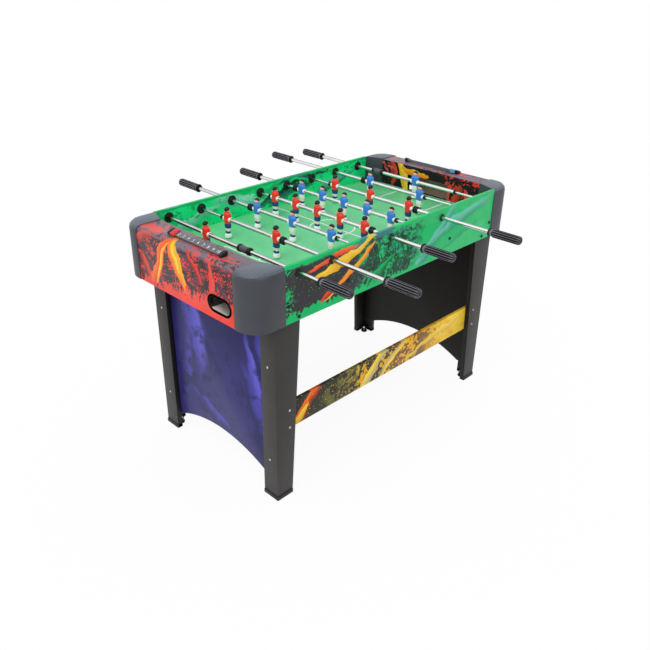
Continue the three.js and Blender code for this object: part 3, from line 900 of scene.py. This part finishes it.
def add_leg(name, end, side):
    """Corner leg of two boards with a foot cap, a leveler and screws.

    The board under the side panel widens towards its top.
    """
    wing = 62
    wing_at_top = 100
    wall = 18
    foot_lift = 4
    cap_height = 14
    cap_proud = 2
    outer_x = 525
    inner_x = outer_x - wall
    outer_y = PANEL_INNER
    inner_y = outer_y - wall

    def place(points):
        return [(end * x, MIDDLE_Y + side * y) for x, y in points]

    def section(width, grow=0):
        return place([
            (outer_x - width, inner_y), (inner_x, inner_y), (inner_x, outer_y - wing),
            (outer_x + grow, outer_y - wing), (outer_x + grow, outer_y + grow),
            (outer_x - width, outer_y + grow),
        ])

    def board_look(face):
        inward = face.normal.x * end < -0.5 or face.normal.y * side < -0.5
        return "dark_board" if inward else "leg"

    rings = [[(x, y, z) for x, y in section(width)]
             for z, width in ((foot_lift + 1, wing), (LEG_TOP, wing_at_top))]
    shape = Shape()
    shape.add(eased(loft(rings), 1.2), board_look)
    foot_cap = prism(section(wing, cap_proud), foot_lift, foot_lift + cap_height, 1)
    shape.add(foot_cap, "foot")
    shape.placed(name + "_boards", "leg", [name])

    inset = 14
    reach = 2 * inset
    bracket = place([
        (inner_x + 1, inner_y + 1), (inner_x - reach, inner_y + 1),
        (inner_x - reach, inner_y - inset), (inner_x - inset, inner_y - reach),
        (inner_x + 1, inner_y - reach),
    ])
    foot = (Matrix.Translation((end * (inner_x - inset), MIDDLE_Y + side * (inner_y - inset), 0))
            @ Matrix.Rotation(math.pi / 2, 4, "X"))
    shape = Shape()
    shape.add(prism(bracket, 14, 18), "foot")
    pad = [(0, 11.5), (1, 13), (5, 13), (6, 11.5), (6.4, 6), (6.4, 4)]
    stem = [(6, 4), (26, 4)]
    nut = [(18.5, 7.5), (19, 8), (23, 8), (23.5, 7.5)]
    shape.add(turned(pad, 28), "black", foot)
    shape.add(turned(stem, 12), "screw", foot)
    shape.add(turned(nut, 6), "screw", foot)
    shape.placed(name + "_leveler", "leg")

    screw_x = 472
    screw_y = 260
    head = 4.2
    proud = 1.4
    spots = [facing_x(end * outer_x, MIDDLE_Y + side * screw_y, z, end) for z in (471, 145)]
    spots += [facing_y(end * screw_x, MIDDLE_Y + side * outer_y, z, side) for z in (316, 255)]
    shape = Shape()
    for spot in spots:
        shape.add(bolt(head, proud), "screw", spot)
    shape.placed(name + "_screws", "leg")


def add_leg_panel(name, end):
    """Board between the legs of one end, arched along its lower edge."""
    low, high = box(name)
    span = 231
    rise = 56.5
    radius = (span * span + rise * rise) / (2 * rise)
    lean = math.asin(span / radius)
    steps = 40
    outline = [(low.y, low.z), (low.y, high.z), (high.y, high.z), (high.y, low.z)]
    for step in range(steps + 1):
        turn = lean * (1 - 2 * step / steps)
        outline.append((MIDDLE_Y + radius * math.sin(turn),
                        low.z + rise - radius + radius * math.cos(turn)))
    middle = (low.x + high.x) / 2

    def panel_look(face):
        return "leg_panel" if face.normal.x * end > 0.5 else "dark_board"

    flat = Matrix.Translation((middle, 0, 0)) @ ALONG_X
    shape = Shape().add(plate([outline], high.x - low.x, 0.8), panel_look, flat)
    shape.placed(name + "_board", "leg_panel", [name])


def add_stretcher(name, side):
    low, high = box(name)
    printed = "front_stretcher" if side < 0 else "back_stretcher"

    def stretcher_look(face):
        return "dark_board" if face.normal.y * side < -0.5 else printed

    shape = Shape().add(board(low, high, 1), stretcher_look)
    shape.placed(name + "_board", "stretcher", [name])


# ---- scoring


RAIL_LIFT = 5
RAIL_HEIGHT = 8
RAIL_NOSE = 2
RAIL_SHOULDER = 4
RAIL_BRACKET = 12
RAIL_OUTER = END_OUTER - 33
RAIL_INNER = RAIL_OUTER - 20
MARKER_GROW = 2.5


def rail_section(side, y, grow):
    """Section of a score rail at a place along it; its high edge is towards the field."""
    low = TOP + RAIL_LIFT
    points = [
        (RAIL_INNER - grow, low - grow), (RAIL_OUTER + grow, low - grow),
        (RAIL_OUTER + grow, low + RAIL_NOSE + grow / 2),
        (RAIL_INNER + RAIL_SHOULDER + grow / 2, low + RAIL_HEIGHT + grow),
        (RAIL_INNER - grow, low + RAIL_HEIGHT + grow),
    ]
    return [(side * x, y, z) for x, z in points]


def number(value, size):
    """A number lying in the XY plane, centred."""
    text = bpy.data.curves.new("number", "FONT")
    text.body = str(value)
    text.size = size
    text.extrude = 0.15
    text.resolution_u = 3
    text.align_x = "CENTER"
    text.align_y = "CENTER"
    return part_of(bpy.data.objects.new("number", text))


def add_score_rail(name, side):
    low, high = box(name)
    bar = loft([rail_section(side, y, 0) for y in (low.y + 1, high.y - 1)])
    shape = Shape().add(eased(bar, 0.6), "rail")
    shape.placed(name + "_bar", "score_rail", [name])

    shape = Shape()
    for start in (low.y, high.y - RAIL_BRACKET):
        ends = (start, start + RAIL_BRACKET)
        cheek = loft([rail_section(side, y, MARKER_GROW) for y in ends])
        shape.add(eased(cheek, 1.2), "black")
        foot = board((side * RAIL_INNER, ends[0] + 1, TOP),
                     (side * RAIL_OUTER, ends[1] - 1, TOP + RAIL_LIFT), 0.6)
        shape.add(foot, "black")
    shape.placed(name + "_brackets", "score_rail")

    count = 10
    digits = 15
    run = RAIL_OUTER - RAIL_INNER - RAIL_SHOULDER
    climb = RAIL_HEIGHT - RAIL_NOSE
    tilt = math.atan2(climb, run)
    pitch = (high.y - low.y - 2 * RAIL_BRACKET) / count
    middle_x = RAIL_OUTER - run / 2
    middle_z = TOP + RAIL_LIFT + RAIL_NOSE + climb / 2
    shape = Shape()
    for index in range(count):
        y = side * (index - (count - 1) / 2) * pitch + (low.y + high.y) / 2
        facing = Matrix.Rotation(side * math.pi / 2, 4, "Z") @ Matrix.Rotation(tilt, 4, "X")
        spot = Matrix.Translation((side * middle_x, y, middle_z)) @ facing
        shape.add(number(index + 1, digits), "number", spot)
    shape.placed(name + "_numbers", "score_rail")


def add_score_marker(name, side):
    """Sleeve that slides along a score rail."""
    slot = "marker_red" if side < 0 else "marker_blue"
    low, high = box(name)
    inner_grow = 0.5
    corners = ((low.y, MARKER_GROW), (high.y, MARKER_GROW), (high.y, inner_grow),
               (low.y, inner_grow))
    rings = [rail_section(side, y, grow) for y, grow in corners]
    sleeve = Shape().add(eased(loft(rings, hollow=True), 0.6), slot)
    sleeve.placed(name + "_sleeve", slot, [name], body=name)


# ---- rods and men


def grip_mesh():
    """Handle about the Y axis: flange at 0, rounded end at -length, ribbed in between."""
    length = 110
    radius = 13.5
    flange = 4
    flange_radius = 14.5
    neck = 8
    neck_radius = 10
    end_round = 8
    shape = Shape()
    collar = [(-flange, TUBE_RADIUS), (-flange, flange_radius - 1), (-flange + 1, flange_radius),
              (-1, flange_radius), (0, flange_radius - 1), (0.6, neck_radius), (0.6, TUBE_RADIUS)]
    shape.add(turned(collar, 40, hollow=True), "black")

    sides = 96
    grooves = 12
    groove_depth = 2
    fullness = 1.6
    steepness = 3
    ridge = -0.6
    slot_length = 9.9
    slot_gap = 1.4
    ribbed_start = -flange - neck - 11
    slots = 7
    ramp = 0.5
    stations = [(-flange, neck_radius, 0), (-flange - neck, neck_radius, 0),
                (-flange - neck - 0.2, radius - 2.5, 0), (-flange - neck - 3, radius - 0.4, 0),
                (-flange - neck - 6, radius, 0)]
    for index in range(slots):
        start = ribbed_start - index * (slot_length + slot_gap)
        end = start - slot_length
        stations += [(start, radius, 0), (start - ramp, radius, 1),
                     (end + ramp, radius, 1), (end, radius, 0)]
    for step in range(1, 7):
        turn = math.pi / 2 * step / 6
        along = -length + end_round * (1 - math.sin(turn))
        stations.append((along, radius - end_round * (1 - math.cos(turn)), 0))

    def wave(x, z):
        """From 1 in the middle of a groove to -1 on the ridge between two."""
        return math.cos(grooves * math.atan2(z, x))

    rings = []
    for along, reach, cut in stations:
        ring = []
        for x, z in circle(1, 0, 0, sides):
            depth = groove_depth * min(1, max(0, fullness + steepness * wave(x, z)))
            radial = reach - cut * depth
            ring.append((radial * x, along, radial * z))
        rings.append(ring)

    # Painted highlight: the ridges and the neck take the pale grey grip look; the grooves keep the
    # black of grip_cell.
    def grip_look(face):
        centre = face.calc_center_median()
        between_ribs = centre.y < -flange - neck and wave(centre.x, centre.z) > ridge
        return "grip_cell" if between_ribs else "grip"

    shape.add(loft(rings), grip_look)
    return shape.finished("grip")


def bumper_mesh(length, ring, middle):
    """Rubber stop about the Y axis: a thick ring at each end and a slimmer middle."""
    radius = 12
    round_off = 1.2
    bore = TUBE_RADIUS - 0.2
    waist = radius - 1.5
    profile = [(0, bore), (0, radius - round_off), (round_off, radius), (ring - 0.6, radius),
               (ring, waist), (length - ring, waist), (length - ring + 0.6, radius),
               (length - round_off, radius), (length, radius - round_off), (length, bore)]

    def bumper_look(face):
        within = ring < face.calc_center_median().y < length - ring
        return middle if within else "rubber"

    return Shape().add(turned(profile, 36, hollow=True), bumper_look).finished("bumper")


def ferrule_mesh():
    """Small stop beside the last man, 10 mm long."""
    profile = [(0, TUBE_RADIUS - 0.2), (0, 7.2), (0.8, 8), (9.2, 8), (10, 7.2),
               (10, TUBE_RADIUS - 0.2)]
    return Shape().add(turned(profile, 28, hollow=True), "black").finished("ferrule")


def oval(z, half_y, half_x, shift):
    """A rounded-square ring at a height; shift moves it towards the man's front."""
    squareness = 2.6
    ring = []
    for east, north in circle(1, 0, 0, 20):
        x = half_x * math.copysign(abs(east) ** (2 / squareness), east)
        y = half_y * math.copysign(abs(north) ** (2 / squareness), north)
        ring.append((x + shift, y, z))
    return ring


def limb(points, sides=12):
    """A tube through (x, y, z, radius) points, its rings level."""
    return loft([[(*spot, z) for spot in circle(radius, x, y, sides)]
                 for x, y, z, radius in points])


def ball(x, y, z, radius, low=-90, high=90, steps=8, sides=16):
    """A ball, or the slice of it between two latitudes."""
    points = []
    for step in range(steps + 1):
        turn = math.radians(low + (high - low) * step / steps)
        points.append((x, y, z + radius * math.sin(turn), max(0.05, radius * math.cos(turn))))
    return limb(points, sides)


def man_mesh(shirt, shorts):
    """A man that faces +X, with the rod through his chest at the origin."""
    head = 30
    shape = Shape()
    boots = [(-61, 9.6, 10, 0.2), (-60.2, 10.4, 10.9, 0.1), (-55, 10.4, 10.9, 0.1),
             (-51, 9.4, 9.6, 0), (-48, 8.2, 7.4, -0.5), (-46, 7.4, 6.4, -0.6)]
    socks = [(-47, 7.8, 6.6, -0.5), (-46.4, 8.4, 7.2, -0.5), (-40, 8.6, 7.3, -0.4),
             (-39.2, 8, 6.8, -0.4)]
    trunks = [(-29.4, 10.2, 7.8, 0), (-28.6, 10.9, 8.5, 0), (-20, 11.1, 8.8, 0),
              (-12, 10.8, 8.4, 0), (-11, 10.4, 8, 0)]
    vest = [(-14.4, 10.6, 8.2, 0), (-13.6, 11.8, 9, 0), (-5, 12.6, 9.8, 0.1),
            (6, 12.9, 10, 0.2), (13, 12.6, 9.8, 0.2), (18, 11.4, 8.6, 0.1),
            (21.6, 8.6, 6.6, 0), (23.6, 5.4, 4.8, 0)]
    for levels, look in ((boots, "white"), (socks, "navy"),
                         (trunks, shorts), (vest, shirt)):
        shape.add(loft([oval(*level) for level in levels]), look)
    thigh = [(-41, 4, 5.8, -0.4), (-34, 4.4, 6.4, -0.3), (-27, 4.7, 6.8, 0)]
    shape.add(limb([(0, 0, 21, 4.8), (0, 0, 26, 4.2)], 14), "skin")
    shape.add(ball(0.4, 0, head, 8.5), "skin")
    shape.add(ball(8.9, 0, head - 0.8, 1.4, steps=4, sides=8), "skin")
    tilt = Matrix.Translation((-0.1, 0, head)) @ Matrix.Rotation(math.radians(-24), 4, "Y")
    shape.add(ball(0, 0, 0, 9.4, low=4), "hair", tilt)
    for side in (-1, 1):
        leg = loft([oval(*level) for level in thigh])
        shape.add(leg, "cream", Matrix.Translation((0, side * 4.1, 0)))
        shape.add(ball(8, side * 2.9, head + 1.6, 0.9, steps=4, sides=8), "hair")
        sleeve = [(0, side * 8.6, 21.4, 2.8), (0.2, side * 10.6, 18.8, 4.6),
                  (0.6, side * 11.4, 12, 5.2), (0.8, side * 11.6, 5, 4.9),
                  (0.8, side * 11.6, 3, 4)]
        shape.add(limb(sleeve), shirt)
        hand = [(side * 10, 6.6), (side * 10.6, 7.6), (side * 13, 8.2), (side * 16, 8),
                (side * 17.6, 7.2), (side * 18, 6.5)]
        shape.add(turned(hand, 20), "white")
    return shape.finished("man")


def add_rods():
    """Eight rods: tube, grip, stops and men on one body, and the inner rod on another."""
    grip = grip_mesh()
    grip_length = 110
    in_grip = 60
    ferrule = ferrule_mesh()
    ferrule_length = 10
    bumper_length = 14
    bumper_gap = 24
    goalie_bumper_length = 50
    goalie_bumper_gap = 156
    bumper = (bumper_mesh(bumper_length, 5, "rubber"), bumper_gap + bumper_length)
    goalie_bumper = (bumper_mesh(goalie_bumper_length, 9, "grey_band"),
                     goalie_bumper_gap + goalie_bumper_length)
    feet = 61
    seat = 5
    men = {-1: man_mesh("red_shirt", "navy"),
           1: man_mesh("blue_shirt", "cream")}
    for rod in RODS:
        name = f"rod_{rod}"
        side = handle_side(rod)
        low, high = box(name + "_tube")
        x = rod_x(rod)
        handle_end, far_end = (low.y, high.y)[::-side]
        turn = facing_y(0, 0, 0, -side)

        def at(y, z=ROD_Z):
            """Place on the rod for a part whose handle end points towards -Y."""
            return Matrix.Translation((x * MM, y * MM, z * MM)) @ turn

        flange = handle_end - side * grip_length
        start = flange + side * in_grip
        length = abs(far_end - start)
        pipe = [(0, TUBE_BORE), (0, TUBE_RADIUS), (length - 0.4, TUBE_RADIUS),
                (length, TUBE_RADIUS - 0.4), (length, TUBE_BORE)]
        tube = Shape().add(turned(pipe, 36, hollow=True), "chrome")
        tube.placed(name + "_pipe", "rod_tube", [name + "_tube"], name, at(start))
        piece(name + "_grip", grip, name, at(flange))
        piece(name + "_ferrule", ferrule, name, at(far_end + side * ferrule_length))

        centres = []
        for index in range(1, MEN[rod] + 1):
            node = f"{name}_man_{index}"
            man_low, man_high = box(node)
            centres.append((man_low.y + man_high.y) / 2)
            place = at(centres[-1], man_low.z + feet)
            piece(node + "_figure", men[side], name, place, [node])

        stop, reach = goalie_bumper if MEN[rod] == 1 else bumper
        outermost = side * max(side * centre for centre in centres)
        piece(name + "_bumper", stop, name, at(outermost + side * reach))

        near, far = [corner.y for corner in box(name + "_inner_rod")][::-side]
        span = abs(far - near) - seat
        shaft = [(0, 3.4), (0.6, 4), (span - 0.6, 4), (span, 3.4)]
        inner = Shape().add(turned(shaft, 28), "chrome")
        inner.placed(name + "_shaft", "inner_rod", [name + "_inner_rod"], name + "_inner", at(near))


# ---- scene


def add_stage():
    """Pale floor, soft light from above and a white surround."""
    half = 60
    plain_white = 0.93
    daylight = 0.7
    mesh = bpy.data.meshes.new("floor")
    mesh.from_pydata([(-half, -half, 0), (half, -half, 0), (half, half, 0), (-half, half, 0)],
                     [], [(0, 1, 2, 3)])
    look = Look(roughness=0.9)
    shade = look.mix(look.noise(900, 2), (0.97, 0.97, 0.97, 1), (0.99, 0.99, 0.99, 1))
    mesh.materials.append(look.finish(shade))
    white = look.node("ShaderNodeEmission", {"Color": (1, 1, 1, 1), "Strength": 1})
    share = look.times(look.in_sight(), plain_white)
    blend = {0: share, 1: look.shader.outputs[0], 2: white.outputs[0]}
    surface = look.node("ShaderNodeMixShader", blend).outputs[0]
    look.fill(look.tree.nodes["Material Output"], {"Surface": surface})
    shown("floor", mesh)

    world = bpy.data.worlds.new("studio")
    bpy.context.scene.world = world
    world.use_nodes = True
    sky = Nodes(world.node_tree)
    strength = sky.scaled(sky.in_sight(), 1 - daylight, daylight)
    sky.fill(sky.tree.nodes["Background"], {"Color": (1, 1, 1, 1), "Strength": strength})

    lamp = bpy.data.lights.new("key", "SUN")
    lamp.energy = 1.25
    lamp.angle = math.radians(50)
    aim = Vector((0.7, 0.3, -1)).to_track_quat("-Z", "Y")
    shown("key", lamp).rotation_euler = aim.to_euler()


def add_camera():
    """The viewpoint of the photograph: high, from the front left."""
    right = Vector((0.70168, -0.71235, 0.01418))
    up = Vector((0.32640, 0.33907, 0.88232))
    back = Vector((-0.63333, -0.61448, 0.47043))
    turn = Matrix((right, up, back)).transposed().to_4x4()
    lens = bpy.data.cameras.new("camera")
    lens.lens = 39.03
    lens.sensor_width = 36
    lens.clip_end = 200
    camera = shown("camera", lens)
    camera.matrix_world = Matrix.Translation((-1.6238, -1.5685, 1.5081)) @ turn
    bpy.context.scene.camera = camera


add_playfield()
for panel, toward in (("side_panel_front", -1), ("side_panel_back", 1)):
    add_side_panel(panel, toward)
for end_name, toward in (("left", -1), ("right", 1)):
    add_end_box("end_box_" + end_name, toward)
    add_leg_panel("leg_panel_" + end_name, toward)
    add_score_rail("score_rail_" + end_name, toward)
    for side_name, across in (("front", -1), ("back", 1)):
        add_corner_cap(f"corner_cap_{side_name}_{end_name}")
        add_leg(f"leg_{side_name}_{end_name}", toward, across)
add_stretcher("stretcher_front", -1)
add_stretcher("stretcher_back", 1)
add_score_marker("score_marker_left", -1)
add_score_marker("score_marker_right", 1)
add_rods()
add_stage()
add_camera()

bpy.context.scene.view_settings.view_transform = "Standard"
